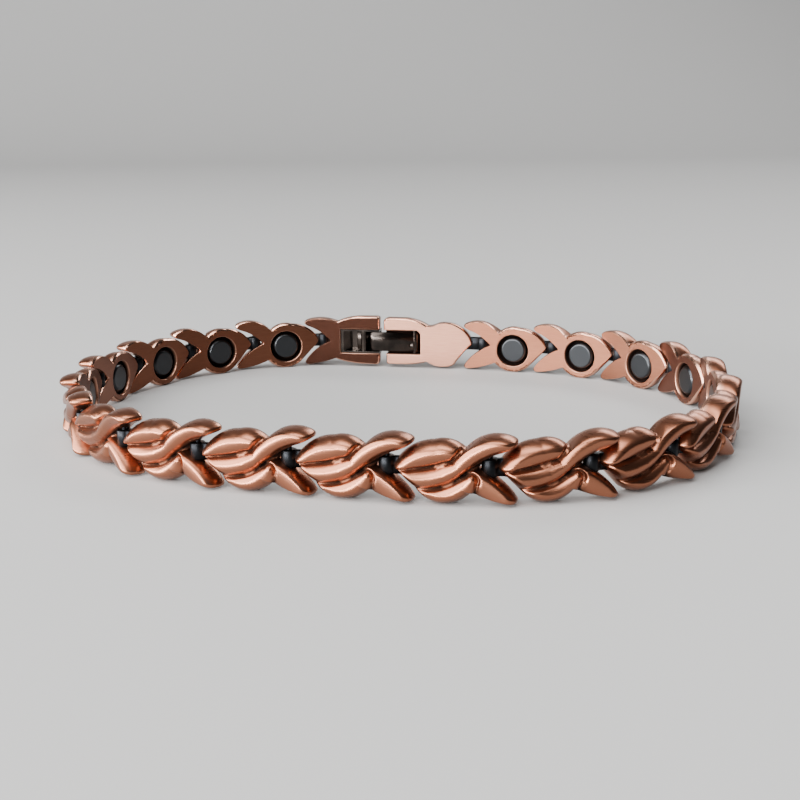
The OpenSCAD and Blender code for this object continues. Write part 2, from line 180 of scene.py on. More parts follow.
@dataclass(frozen=True)
class Sizes:
    """Sizes of the links, the hinges and the clasp, as in the part's source."""

    body_r: float = 3.0
    nose_len: float = 4.6
    tail_len: float = 6.75
    fork_depth: float = 3.2
    axis_rise: float = 0.6
    plate_t: float = 1.35
    braid_h: float = 1.1
    bore_r: float = 2.11
    bore_t: float = 1.08
    pin_depth: float = 0.82
    nose_pin_back: float = 0.88
    fork_pin_out: float = 0.98
    hinge_gap: float = 1.7
    clasp_hinge_gap: float = 2.4
    knuckle_r: float = 0.46
    web_t: float = 0.6
    arm_len: float = 6.0
    clasp_gap: float = 0.55
    prong_len: float = 5.05
    clasp_h: float = 6.6
    pocket_h: float = 3.3
    pocket_t: float = 1.75
    box_wall: float = 0.2
    crossbar_d: float = 0.8
    tongue_t: float = 0.34
    clasp_clear: float = 0.08
    pin_bore_r: float = 0.325
    base_share: float = 0.97
    waist_share: float = 0.75
    pocket_share: float = 0.2
    nose_body_share: float = 0.83
    top_share: float = 0.52

    @property
    def fork_pin_x(self) -> float:
        """The pin in the fork's mouth."""
        return -self.fork_depth - self.fork_pin_out

    @property
    def nose_pin_x(self) -> float:
        """The pin in the nose."""
        return self.nose_len - self.nose_pin_back

    @property
    def link_span(self) -> float:
        """From a link's one pin to its other."""
        return self.nose_pin_x - self.fork_pin_x

    @property
    def hinge_span(self) -> float:
        """From one pin of a connector to the other."""
        return self.nose_pin_back + self.hinge_gap - self.fork_pin_out

    @property
    def clasp_hinge_span(self) -> float:
        """The same for the connector on the clasp's nose."""
        return self.nose_pin_back + self.clasp_hinge_gap - self.fork_pin_out

    @property
    def base_rise(self) -> float:
        """Height of the body's centre above the floor."""
        return self.base_share * self.body_r

    @property
    def waist_x(self) -> float:
        """Where the fork piece's arms start."""
        return -self.waist_share * self.body_r

    @property
    def arm_end(self) -> float:
        """Where the fork piece's arms end."""
        return self.waist_x + self.arm_len

    @property
    def nose_start(self) -> float:
        """Where the nose piece's prongs start."""
        return self.arm_end + self.clasp_gap

    @property
    def pocket_start(self) -> float:
        """The closed end of the fork piece's pocket."""
        return self.waist_x + self.pocket_share * self.body_r

    @property
    def pocket_end(self) -> float:
        """The closed end of the nose piece's pocket."""
        return self.nose_start + self.prong_len

    @property
    def nose_body_x(self) -> float:
        """The centre of the nose piece's solid body."""
        return self.pocket_end + self.nose_body_share * self.body_r

    @property
    def clasp_span(self) -> float:
        """From the clasp's fork pin to its nose pin."""
        return self.nose_body_x + self.nose_pin_x - self.fork_pin_x

    @property
    def pocket_low(self) -> float:
        """The lower wall of both pockets."""
        return self.axis_rise - self.pocket_h / 2

    @property
    def pocket_top(self) -> float:
        """The upper wall of both pockets."""
        return self.axis_rise + self.pocket_h / 2

    @property
    def clasp_top(self) -> float:
        """The top of the fork piece's arms."""
        return self.axis_rise + self.top_share * self.clasp_h

    @property
    def clasp_low(self) -> float:
        """The underside of the fork piece's arms."""
        return self.clasp_top - self.clasp_h

    def tail(self, s: float, h: float) -> Point:
        """A point at a share of the tail's length and of the body's radius."""
        return (-s * self.tail_len, h * self.body_r)

    def nose(self, s: float, h: float) -> Point:
        """A point at a share of the nose's length and of the body's radius."""
        return (s * self.nose_len, h * self.body_r)

    def fork(self, s: float, h: float) -> Point:
        """A point at a share of the fork's depth, and above its bottom."""
        reach = self.fork_depth + s * (self.tail_len - self.fork_depth)
        return (-reach, self.axis_rise + h * self.body_r)

    def arm(self, s: float, h: float) -> Point:
        """A point at a share of an arm's length and of the body's radius."""
        return (self.waist_x + s * self.arm_len, h * self.body_r)

    def clasp_body(self, s: float, h: float) -> Point:
        """A point at a share of the way from the solid body to its nose tip."""
        return (self.nose_body_x + s * self.nose_len, h * self.body_r)


@dataclass(frozen=True)
class LoopLine:
    """The closed line that the hinges stand on, seen from above."""

    oval: float = 0.097
    lean: float = -0.065
    square: float = -0.015
    corner: float = 0.018
    clasp_bearing: float = 70.9
    links: int = 20
    size_margin: float = 0.2
    halvings: int = 40
    corrections: int = 6

    def point(self, size: float, angle: float) -> np.ndarray:
        """A point of the line: size times one plus four waves of the angle.

        Args:
            size: Mean radius.
            angle: Bearing from the middle, in degrees.

        Returns:
            The point in plan.
        """
        t = math.radians(angle)
        share = (1 + self.oval * math.cos(2 * t) + self.lean * math.sin(2 * t)
                 + self.square * math.cos(4 * t) + self.corner * math.sin(4 * t))
        return size * share * np.array([math.cos(t), math.sin(t)])

    def walk(self, size: float, spans: list[float]) -> list[float]:
        """Bearings of the hinges, each one chord on from the last, clockwise.

        Args:
            size: Mean radius.
            spans: Chord lengths in turn.

        Returns:
            One bearing for each hinge.
        """
        bearings = [self.clasp_bearing]
        for chord in spans:
            here = self.point(size, bearings[-1])
            step = math.degrees(chord / size)
            for _ in range(self.corrections):
                miss = float(np.hypot(*(self.point(size, bearings[-1] - step) - here))) - chord
                step -= math.degrees(miss / size)
            bearings.append(bearings[-1] - step)
        return bearings

    def hinges(self, sizes: Sizes) -> np.ndarray:
        """Hinge points of the closed chain, the mean radius found by halving.

        Args:
            sizes: The sizes of the links and the clasp.

        Returns:
            One point a row, from the clasp's nose pin clockwise to its fork pin.
        """
        spans = [sizes.clasp_hinge_span] + [sizes.link_span, sizes.hinge_span] * self.links
        around = (sum(spans) + sizes.clasp_span) / (2 * math.pi)
        low, high = (1 - self.size_margin) * around, (1 + self.size_margin) * around
        for _ in range(self.halvings):
            mid = (low + high) / 2
            last = self.walk(mid, spans)[-1]
            gap = float(np.hypot(*(self.point(mid, last) - self.point(mid, self.clasp_bearing))))
            short = self.clasp_bearing - last >= 360 or gap < sizes.clasp_span
            low, high = (mid, high) if short else (low, mid)
        size = (low + high) / 2
        return np.array([self.point(size, a) for a in self.walk(size, spans)])


@dataclass
class Surface:
    """A mesh with a UV map in its frame's own millimetres and named masks."""

    points: np.ndarray
    faces: list[list[int]]
    plan: np.ndarray
    masks: dict[str, np.ndarray] = field(default_factory=dict)

    def placed(self, name: str, matrix: np.ndarray, material: Material) -> Piece:
        """Makes the mesh object with its place in its mesh.

        Args:
            name: Name of the object.
            matrix: Four by four matrix from the piece's frame to the row's, in millimetres.
            material: Its finish.

        Returns:
            The object, linked to the scene.
        """
        p = (self.points @ matrix[:3, :3].T + matrix[:3, 3]) * MM
        mesh = bpy.data.meshes.new(name)
        mesh.from_pydata(p, [], self.faces)
        mesh.update()
        mesh.polygons.foreach_set("use_smooth", np.ones(len(mesh.polygons), bool))
        uv = mesh.uv_layers.new(name="cast")
        index = np.empty(len(mesh.loops), np.int32)
        mesh.loops.foreach_get("vertex_index", index)
        uv.data.foreach_set("uv", self.plan[index].astype(np.float32).ravel())
        for key, values in self.masks.items():
            layer = mesh.attributes.new(key, "FLOAT", "POINT")
            layer.data.foreach_set("value", values.astype(np.float32))
        mesh.materials.append(material)
        piece = bpy.data.objects.new(name, mesh)
        bpy.context.collection.objects.link(piece)
        return piece


def joined(parts: list[Surface]) -> Surface:
    """One surface made of several that stay apart.

    Args:
        parts: Surfaces without masks.

    Returns:
        Their points and faces in one list.
    """
    starts = np.cumsum([0] + [len(part.points) for part in parts])
    faces = [[start + i for i in face] for start, part in zip(starts, parts) for face in part.faces]
    return Surface(np.concatenate([part.points for part in parts]), faces,
                   np.concatenate([part.plan for part in parts]))


def ring_quads(rings: int, around: int) -> np.ndarray:
    """Quads between closed rings of points.

    Args:
        rings: Number of rings.
        around: Points on each ring.

    Returns:
        Corner indices, each quad joining neighbours on two rings, with the last point joined to the first.
    """
    i, j = np.meshgrid(np.arange(rings - 1), np.arange(around), indexing="ij")
    k = (j + 1) % around
    a, b = i * around, (i + 1) * around
    return np.stack([a + j, a + k, b + k, b + j], axis=-1).reshape(-1, 4)


@dataclass(frozen=True)
class Strand:
    """One raised strand of the braid: a round ridge that follows an arc."""

    line: Arc
    width: float
    crest: float
    taper: float
    over: int
    fullness: float = 0.7
    taper_power: int = 4

    def ridge(self, p: np.ndarray) -> tuple[np.ndarray, np.ndarray]:
        """Height of the ridge at points, and how far outside it they lie.

        The ridge is a full, round-topped arch across its line, and its half width shrinks
        towards both ends by the fourth power of the distance from its middle.

        Args:
            p: Points, one a row.

        Returns:
            Heights above the plate, and distances over the half width.
        """
        share, off = self.line.along_and_off(p)
        half = self.width / 2 * (1 - self.taper * (2 * share - 1) ** self.taper_power)
        x = off / half
        return self.crest * np.clip(1 - x ** 2, 0, 1) ** self.fullness, x


@dataclass(frozen=True)
class Braid:
    """Strands that lie over and under each other."""

    strands: tuple[Strand, ...]
    tuck: float = 0.25
    tuck_start: float = 0.85
    tuck_width: float = 0.45

    def relief(self, p: np.ndarray) -> np.ndarray:
        """Height of the braid above the plate.

        Each strand sinks in a smooth step towards a strand that lies over it, and the highest one shows.

        Args:
            p: Points, one a row.

        Returns:
            One height for each point.
        """
        ridges = [(strand.over, *strand.ridge(p)) for strand in self.strands]
        total = np.zeros(len(p))
        for over, height, _ in ridges:
            kept = np.ones(len(p))
            for other, _, beyond in ridges:
                if other > over:
                    out = np.clip((beyond - self.tuck_start) / self.tuck_width, 0, 1)
                    kept = np.minimum(kept, self.tuck + (1 - self.tuck) * out ** 2 * (3 - 2 * out))
            total = np.maximum(total, height * kept)
        return total


def body_strands(sizes: Sizes, body_x: float = 0.0) -> tuple[Strand, ...]:
    """The braid over a round body and its nose.

    Args:
        sizes: The link's sizes.
        body_x: The body's centre.

    Returns:
        The upper leaf, the middle strand and the lower strand.
    """
    r, h = sizes.body_r, sizes.braid_h

    def at(p: Point) -> Point:
        """A point moved with the body."""
        return (p[0] + body_x, p[1])

    return (
        Strand(Arc(at(sizes.nose(0.97, 0.2)), at(sizes.nose(0.37, 0.59)), at(sizes.tail(0.215, 0.78))),
               0.9 * r, 0.95 * h, 0.5, 1),
        Strand(Arc(at(sizes.nose(0.8, -0.1)), at(sizes.nose(0.22, -0.1)), at(sizes.tail(0.207, 0.25))),
               0.7 * r, h, 0.3, 2),
        Strand(Arc(at(sizes.nose(0.74, -0.4)), at(sizes.nose(0.07, -0.74)), at(sizes.tail(0.38, -0.15))),
               0.78 * r, 0.9 * h, 0.4, 1),
    )


def fork_strands(sizes: Sizes) -> tuple[Strand, ...]:
    """The braid over the fork's two prongs.

    Args:
        sizes: The link's sizes.

    Returns:
        The upper strand, which runs on from the middle one, and the lower leaf.
    """
    r, h, tail = sizes.body_r, sizes.braid_h, sizes.tail
    return (
        Strand(Arc(tail(0.207, 0.25), tail(0.475, 0.76), tail(1.0, 1.06)), 0.7 * r, h, 0.2, 2),
        Strand(Arc(tail(0.42, 0), tail(0.67, -0.4), tail(0.99, -0.84)), 0.98 * r, 0.92 * h, 0.45, 0),
    )


@dataclass(frozen=True)
class Plan:
    """A cast piece's outline, one row or one value for each of its points, and what lies inside it."""

    line: np.ndarray
    ray: np.ndarray
    centre: np.ndarray
    hollow: np.ndarray
    lip: np.ndarray
    floor: float
    plate_t: float
    braid: Braid


def runs_to_line(runs: tuple[tuple[Line | Arc, int], ...]) -> np.ndarray:
    """The points of an outline's runs, in turn.

    Args:
        runs: Lines and arcs with their counts of points.

    Returns:
        One point a row.
    """
    return np.concatenate([run.points(np.linspace(0, 1, count)) for run, count in runs])


def fork_runs(sizes: Sizes, high: Point, low: Point) -> tuple[tuple[Line | Arc, int], ...]:
    """The outline of the fork, from the top waist round to the low waist.

    Args:
        sizes: The link's sizes.
        high: Where it leaves the top waist.
        low: Where it meets the low waist.

    Returns:
        Its arcs with their counts of points.
    """
    s = sizes
    return (
        (Arc(high, s.tail(0.655, 1.225), s.tail(0.95, 1.135)), 34),
        (Arc(s.tail(0.975, 1.1), s.tail(1, 1), s.tail(0.97, 0.91)), 8),
        (Arc(s.tail(0.95, 0.88), s.fork(0.48, 0.47), s.fork(0.05, 0.06)), 30),
        (Arc(s.fork(0.02, 0.02), s.fork(0.01, 0), s.fork(0.02, -0.015)), 3),
        (Arc(s.fork(0.05, -0.035), s.fork(0.55, -0.4), s.tail(0.965, -0.66)), 30),
        (Arc(s.tail(0.985, -0.74), s.tail(1, -0.84), s.tail(0.97, -0.92)), 8),
        (Arc(s.tail(0.94, -0.935), s.tail(0.68, -0.84), low), 28),
    )


@dataclass(frozen=True)
class CastPiece:
    """A flat cast piece with a hollow in its inner face and a braid raised on its outer face."""

    sizes: Sizes = Sizes()
    edge_t: float = 0.8
    edge_roll: float = 1.1
    inner_bevel: float = 0.24
    rim_bevel: float = 0.07
    core_r: float = 1.2
    outer_rings: int = 30
    edge_rings: int = 8
    edge_share: float = 0.14
    floor_shares: tuple[float, ...] = (0.0, 0.35, 0.7, 1.0)
    face_shares: tuple[float, ...] = (0.02, 0.25, 0.5, 0.75)
    # Each bevel ring's turn in degrees and its edge mask; the edge mask takes the colour towards the rim
    # colour, partly polished edge and partly painted rim highlight.
    bevel_turns: tuple[Point, ...] = ((90, 0.2), (65, 0.9), (40, 1.0), (15, 1.0))
    core_shares: tuple[float, ...] = (0.8, 0.6, 0.4, 0.2, 0.0)
    # Relief, inner and edge mask values of the hollow's wall top, its rim, the inner face, its bevel and the
    # side wall; the edge values add painted rim highlight.
    wall_masks: Place = (0.6, 0.5, 0.5)
    rim_masks: Place = (1.0, 1.0, 0.3)
    face_masks: Place = (0.8, 1.0, 0.0)
    bevel_masks: Place = (1.0, 1.0, 0.0)
    side_masks: Place = (0.8, 0.5, 0.5)
    rim_limit: float = 0.4
    bevel_limit: float = 0.5
    bevel_start: float = 1.08
    open_drop: float = 0.2
    closed_drop: float = 0.7
    side_share: float = 0.45
    rolled_relief: float = 0.35
    rolled_wear: float = 0.6
    clasp_rise: float = 0.5
    open_wall: float = 0.05
    open_lip: float = 0.04
    lip_gap: float = 0.02
    gap_points: int = 16

    def plan(self) -> Plan:
        """The piece's outline and hollow; each kind of piece gives its own."""
        raise NotImplementedError

    def open_end(self, shut: np.ndarray, first: Point, last: Point) -> tuple[np.ndarray, np.ndarray]:
        """Closes an outline over its pocket's open end.

        Args:
            shut: The rest of the outline.
            first: Where the open end starts.
            last: Where it ends.

        Returns:
            The whole outline, and the height of the inner face at each of its points, which is
            as deep as the pocket along the open end.
        """
        gap = Line(first, last).points(np.linspace(0, 1, self.gap_points))
        lip = np.concatenate([np.zeros(len(shut)), np.full(len(gap), -self.sizes.pocket_t)])
        return np.concatenate([shut, gap]), lip

    def pocket_plan(self, line: np.ndarray, lip: np.ndarray, centre: Point, sides: tuple,
                    braid: Braid) -> Plan:
        """A plan whose hollow is a pocket with straight sides, open where the lip is low.

        Each ray from the centre ends at the nearest side, or just inside the outline.

        Args:
            line: The outline.
            lip: Height of the inner face at each of its points.
            centre: A point in the pocket from which the whole outline can be seen.
            sides: For each side its outward direction and a point on it.
            braid: The braid on the outer face.

        Returns:
            The plan.
        """
        s = self.sizes
        middle = np.array(centre)
        reach = np.linalg.norm(line - middle, axis=1)
        ray = (line - middle) / reach[:, None]
        hollow = reach - self.open_wall
        for normal, point in sides:
            lean = ray @ np.array(normal)
            away = float((np.array(point) - middle) @ np.array(normal))
            nearest = np.minimum(hollow, away / np.maximum(lean, NEAR_ZERO))
            hollow = np.where(lean > NEAR_ZERO, nearest, hollow)
        plate_t = s.plate_t + self.clasp_rise * s.braid_h
        return Plan(line, ray, middle, hollow, lip, s.pocket_t, plate_t, braid)

    def surface(self) -> Surface:
        """The closed surface of the piece.

        Rings run round the outline. They start at the middle of the hollow's floor, go up its
        wall and over the inner face to the outline's bevel, down the side wall, and in over the
        outer face to its middle. The outer face is the plate plus the braid, rolled down over a
        quarter circle at its edge.

        Returns:
            The surface, with the masks relief, inner and edge.
        """
        s, plan = self.sizes, self.plan()
        line, ray, lip, floor = plan.line, plan.ray, plan.lip, plan.floor
        wall = plan.centre + ray * plan.hollow[:, None]
        closed = (lip == 0).astype(float)
        rings, masks = [], []

        def add(p: np.ndarray, z: np.ndarray | float, *mask: np.ndarray | float) -> None:
            """Adds a ring of points with its heights and its masks relief, inner and edge."""
            rings.append(np.column_stack([p, np.broadcast_to(z, len(p))]))
            masks.append(np.column_stack([np.broadcast_to(value, len(p)) for value in mask]))

        # The hollow's floor and the lower half of its wall have no relief, so they take the near-black patina
        # colour as painted shade.
        for share in self.floor_shares:
            add(plan.centre + (wall - plan.centre) * share, -floor, 0.0, 0.0, 0.0)
        add(wall, (lip - floor) / 2, 0.0, 0.0, 0.0)
        add(wall, lip - self.rim_bevel * closed, *self.wall_masks)
        across = line - wall
        depth = np.linalg.norm(across, axis=1)[:, None]
        rim = wall + across * np.minimum(self.rim_bevel / depth, self.rim_limit)
        add(rim, lip, *self.rim_masks)
        for share in self.face_shares:
            add(rim + (line - rim) * share, lip, *self.face_masks)
        bevel = np.minimum(self.inner_bevel / depth, self.bevel_limit)
        add(line + (rim - line) * bevel * self.bevel_start, lip, *self.bevel_masks)
        drop = self.inner_bevel * (self.open_drop + self.closed_drop * closed)
        for turn, edge in self.bevel_turns:
            across_share = math.sin(math.radians(turn))
            add(line + (rim - line) * bevel * across_share, lip - drop * (1 - across_share), 1.0, 1.0, edge)
        edge_z = np.where(closed > 0, self.edge_t, floor + self.open_lip + self.open_wall)
        side_z = np.where(closed > 0, self.side_share * self.edge_t, floor + self.open_wall)
        add(line, -side_z, *self.side_masks)
        core = plan.centre + self.core_r * ray
        reach = np.linalg.norm(line - core, axis=1)
        steps = np.concatenate([np.linspace(0, self.edge_share, self.edge_rings)[:-1],
                                np.linspace(self.edge_share, 1, self.outer_rings)])
        for share in steps:
            p = line + (core - line) * share
            height = plan.braid.relief(p)
            roll = np.sqrt(1 - (1 - np.clip(share * reach / self.edge_roll, 0, 1)) ** 2)
            shown = height / s.braid_h * (self.rolled_relief + (1 - self.rolled_relief) * roll)
            add(p, -edge_z - (plan.plate_t - edge_z + height) * roll,
                shown + self.rolled_wear * (1 - roll), 0.0, 0.0)
        for share in self.core_shares:
            p = plan.centre + self.core_r * ray * share
            height = plan.braid.relief(p)
            add(p, -plan.plate_t - height, height / s.braid_h, 0.0, 0.0)
        points, mask = np.concatenate(rings), np.concatenate(masks)
        faces = ring_quads(len(rings), len(line)).tolist()
        return Surface(points, faces, points[:, :2].copy(),
                       {"relief": mask[:, 0], "inner": mask[:, 1], "edge": mask[:, 2]})


@dataclass(frozen=True)
class CastLink(CastPiece):
    """A fish-shaped link with a blind round bore."""

    def plan(self) -> Plan:
        """The outline, each point looking to a listed bearing on the bore.

        Returns:
            The plan, with the bore as its hollow.
        """
        s = self.sizes
        top_waist, low_waist = s.tail(0.29, 0.79), s.tail(0.37, -0.62)
        runs = (
            *fork_runs(s, s.tail(0.315, 0.8), s.tail(0.39, -0.63)),
            (Arc(low_waist, s.nose(0, -0.97), s.nose(0.43, -0.74)), 44),
            (Arc(s.nose(0.45, -0.71), s.nose(0.69, -0.33), s.nose(0.935, 0.06)), 24),
            (Arc(s.nose(0.965, 0.11), s.nose(1, 0.2), s.nose(0.985, 0.3)), 6),
            (Arc(s.nose(0.96, 0.36), s.nose(0.66, 0.8), s.nose(0.2, 1.01)), 36),
            (Arc(s.nose(0.17, 1.02), s.nose(-0.15, 1.02), top_waist), 21),
        )
        bearings = ((129, 146), (146.5, 149.5), (150, 165), (167, 169), (171, 192), (192.5, 196), (197, 214),
                    (216, 312), (314, 350), (352, 364), (368, 434), (436, 487))
        look = np.concatenate([np.linspace(*ends, count) for ends, (_, count) in zip(bearings, runs)])
        line = runs_to_line(runs)
        return Plan(line, direction(np.radians(look)), np.zeros(2), np.full(len(line), s.bore_r),
                    np.zeros(len(line)), s.bore_t, s.plate_t, Braid(body_strands(s) + fork_strands(s)))


@dataclass(frozen=True)
class ClaspFork(CastPiece):
    """The clasp's left piece: a fork that runs on into two arms round a pocket."""

    corner: float = 0.4
    outer_rings: int = 40

    def plan(self) -> Plan:
        """The outline, from the open end over the upper arm and round.

        Returns:
            The plan, with a pocket that is open towards the nose piece.
        """
        s, c = self.sizes, self.corner
        end, top, low = s.arm_end, s.clasp_top, s.clasp_low
        high_lip, low_lip = s.pocket_top + self.lip_gap, s.pocket_low - self.lip_gap
        runs = (
            (Line((end, high_lip), (end, top - 1.1 * c)), 12),
            (Arc((end, top - c), (end - 0.3 * c, top - 0.3 * c), (end - c, top)), 9),
            (Line((end - 1.2 * c, top), (s.arm(0.54, 0)[0], top)), 14),
            (Arc((s.arm(0.52, 0)[0], top), s.arm(0.26, 1.27), s.arm(0.04, 1.11)), 26),
            *fork_runs(s, s.arm(0.01, 1.09), s.arm(-0.04, -0.63)),
            (Arc(s.arm(-0.01, -0.65), s.arm(0.25, -0.78), (s.arm(0.58, 0)[0], low)), 26),
            (Line((s.arm(0.6, 0)[0], low), (end - 1.6 * c, low)), 10),
            (Arc((end - 1.5 * c, low), (end - 0.5 * c, low + 0.3 * c), (end - 0.2 * c, low + c)), 9),
            (Line((end - 0.18 * c, low + 1.1 * c), (end, low_lip)), 8),
        )
        line, lip = self.open_end(runs_to_line(runs), (end, s.pocket_low + self.lip_gap),
                                  (end, s.pocket_top - self.lip_gap))
        sides = (((-1, 0), (s.pocket_start, 0)), ((0, 1), (0, s.pocket_top)), ((0, -1), (0, s.pocket_low)))
        r, h = s.body_r, s.braid_h
        width = 0.7 * r
        low_arc = Arc(s.arm(-0.17, -0.4), (s.arm(0.5, 0)[0], low + 1), (end, low + 0.8))
        arms = (
            Strand(Arc(s.tail(0.207, 0.25), s.arm(0.3, 0.75), (end, top - 0.8)), width, h, 0.0, 1),
            Strand(Arc(s.arm(0, 0.5), s.arm(0.5, -0.05), (end, 0.1 * r)), width, h, 0.0, 2),
            Strand(low_arc, width, 0.9 * h, 0.0, 1),
        )
        return self.pocket_plan(line, lip, (0.3, s.axis_rise), sides, Braid(fork_strands(s) + arms))


@dataclass(frozen=True)
class ClaspNose(CastPiece):
    """The clasp's right piece: two prongs round a pocket, a solid body and a nose."""

    corner: float = 0.4
    outer_rings: int = 44

    def plan(self) -> Plan:
        """The outline, from the open end under the lower prong and round.

        Returns:
            The plan, with a pocket that is open towards the fork piece and has one cut corner.
        """
        s, c, body = self.sizes, self.corner, self.sizes.clasp_body
        start, end, r = s.nose_start, s.pocket_end, s.body_r
        low_start = start + 0.8 * c
        waist = end - 0.12 * s.prong_len
        runs = (
            (Line((low_start, s.pocket_low - self.lip_gap), (low_start, -0.66 * r)), 8),
            (Arc((low_start, -0.7 * r), (low_start + 0.25 * c, -0.79 * r), (low_start + c, -0.82 * r)), 7),
            (Line((low_start + 1.2 * c, -0.825 * r), (end - 0.52 * s.prong_len, -0.83 * r)), 10),
            (Arc((end - 0.5 * s.prong_len, -0.83 * r), (waist, -0.79 * r), body(-0.37, -0.69)), 20),
            (Arc(body(-0.3, -0.72), body(0.05, -0.9), body(0.4, -0.82)), 30),
            (Arc(body(0.46, -0.76), body(0.68, -0.31), body(0.94, 0.12)), 26),
            (Arc(body(0.965, 0.16), body(0.99, 0.25), body(0.975, 0.34)), 6),
            (Arc(body(0.95, 0.42), body(0.58, 0.99), body(0.12, 1.12)), 36),
            (Arc(body(0.02, 1.1), body(-0.09, 1.02), body(-0.24, 0.96)), 12),
            (Arc(body(-0.33, 0.97), body(-0.62, 1.18), (end - 0.4 * s.prong_len, 1.3 * r)), 24),
            (Line((end - 0.42 * s.prong_len, 1.3 * r), (start + 2.1 * c, 1.3 * r)), 12),
            (Arc((start + 2 * c, 1.3 * r), (start + 0.5 * c, 1.24 * r), (start, 1.02 * r)), 12),
            (Line((start, 0.99 * r), (start, s.pocket_top + self.lip_gap)), 7),
        )
        line, lip = self.open_end(runs_to_line(runs), (start, s.pocket_top - self.lip_gap),
                                  (low_start, s.pocket_low + self.lip_gap))
        cut = 0.15 * r
        sides = (((1, 0), (end, 0)), ((0, 1), (0, s.pocket_top)), ((0, -1), (0, s.pocket_low)),
                 ((0.7071, 0.7071), (end - cut, s.pocket_top)))
        h, width, body_x = s.braid_h, 0.7 * r, s.nose_body_x
        prongs = (
            Strand(Arc((start, 0.95 * r), (end, 0.9 * r), (body_x, 0.2 * r)), width, h, 0.0, 1),
            Strand(Arc((start, 0.1 * r), (end - 2, 0), (end + 1, 0.5 * r)), width, h, 0.0, 2),
            Strand(Arc((start, -0.5 * r), (end - 1, -0.42 * r), (body_x + 0.5, -0.65 * r)), width, h, 0.0, 1),
        )
        return self.pocket_plan(line, lip, (end - 1.3, s.axis_rise), sides,
                                Braid(body_strands(s, body_x) + prongs))


def turned(profile: np.ndarray, middle: tuple[float, float, float]) -> Surface:
    """A profile carried round an axis along Z.

    Args:
        profile: Radius and height of each point, from the axis round to the axis.
        middle: Where the axis stands and the profile's height zero lies.

    Returns:
        The closed surface.
    """
    turn = np.radians(np.arange(0, 360, TURN_STEP))
    x = profile[:, :1] * np.cos(turn)
    y = profile[:, :1] * np.sin(turn)
    z = np.broadcast_to(profile[:, 1:], x.shape)
    points = np.stack([x, y, z], axis=-1).reshape(-1, 3) + np.array(middle)
    return Surface(points, ring_quads(len(profile), len(turn)).tolist(), points[:, :2].copy())


@dataclass(frozen=True)
class RoundMagnet:
    """A round magnet with a bevelled face."""

    d: float = 3.5
    t: float = 0.85
    bevel: float = 0.28
    sink: float = 0.15

    def surface(self) -> Surface:
        """A profile turned round the bore's axis: flat back, wall, rounded bevel and flat face.

        Returns:
            The closed surface.
        """
        r, b = self.d / 2, self.bevel
        profile = np.array([[0, -self.t], [0.9 * r, -self.t], [r - 0.02, -self.t + 0.02], [r, -self.t + 0.06],
                            [r, -b - 0.06], [r - 0.012, -b - 0.01], [r - 0.05, -b + 0.045],
                            [r - 0.5 * b, -0.5 * b], [r - b + 0.05, -0.05], [r - b, -0.014],
                            [r - b - 0.06, 0], [r - b - 0.15, 0], [0.5 * r, 0], [0, 0]])
        return turned(profile, (0, 0, -self.sink))


@dataclass(frozen=True)
class Prism:
    """A flat outline carried along an axis, with its two rims bevelled."""

    outline: np.ndarray
    low: float
    high: float
    bevel: float

    def surface(self, axes: tuple[int, int, int] = (0, 1, 2)) -> Surface:
        """Rings at both rims, each first moved in along the outline's normals, and two caps.

        Args:
            axes: Where the outline's two directions and the axis go; a swap of two turns the faces over.

        Returns:
            The closed surface.
        """
        p = self.outline
        along = np.roll(p, -1, axis=0) - np.roll(p, 1, axis=0)
        normal = np.stack([along[:, 1], -along[:, 0]], axis=-1)
        inset = p - normal / np.linalg.norm(normal, axis=1)[:, None] * self.bevel
        rings = ((inset, self.low), (p, self.low + self.bevel), (p, self.high - self.bevel),
                 (inset, self.high))
        flat = np.concatenate([np.column_stack([q, np.full(len(q), z)]) for q, z in rings])
        count = len(p)
        faces = ring_quads(4, count).tolist() + [list(range(count))[::-1], list(range(3 * count, 4 * count))]
        points = np.empty_like(flat)
        for source, target in enumerate(axes):
            points[:, target] = flat[:, source]
        if axes != (0, 1, 2):
            faces = [face[::-1] for face in faces]
        return Surface(points, faces, points[:, :2].copy())


def arc_points(centre: Point, r: float, first: float, last: float, count: int) -> np.ndarray:
    """Points of a circle between two angles.

    Args:
        centre: Its centre.
        r: Its radius.
        first: First angle in degrees.
        last: Last angle in degrees.
        count: Number of points.

    Returns:
        One point a row.
    """
    return np.array(centre) + r * direction(np.radians(np.linspace(first, last, count)))


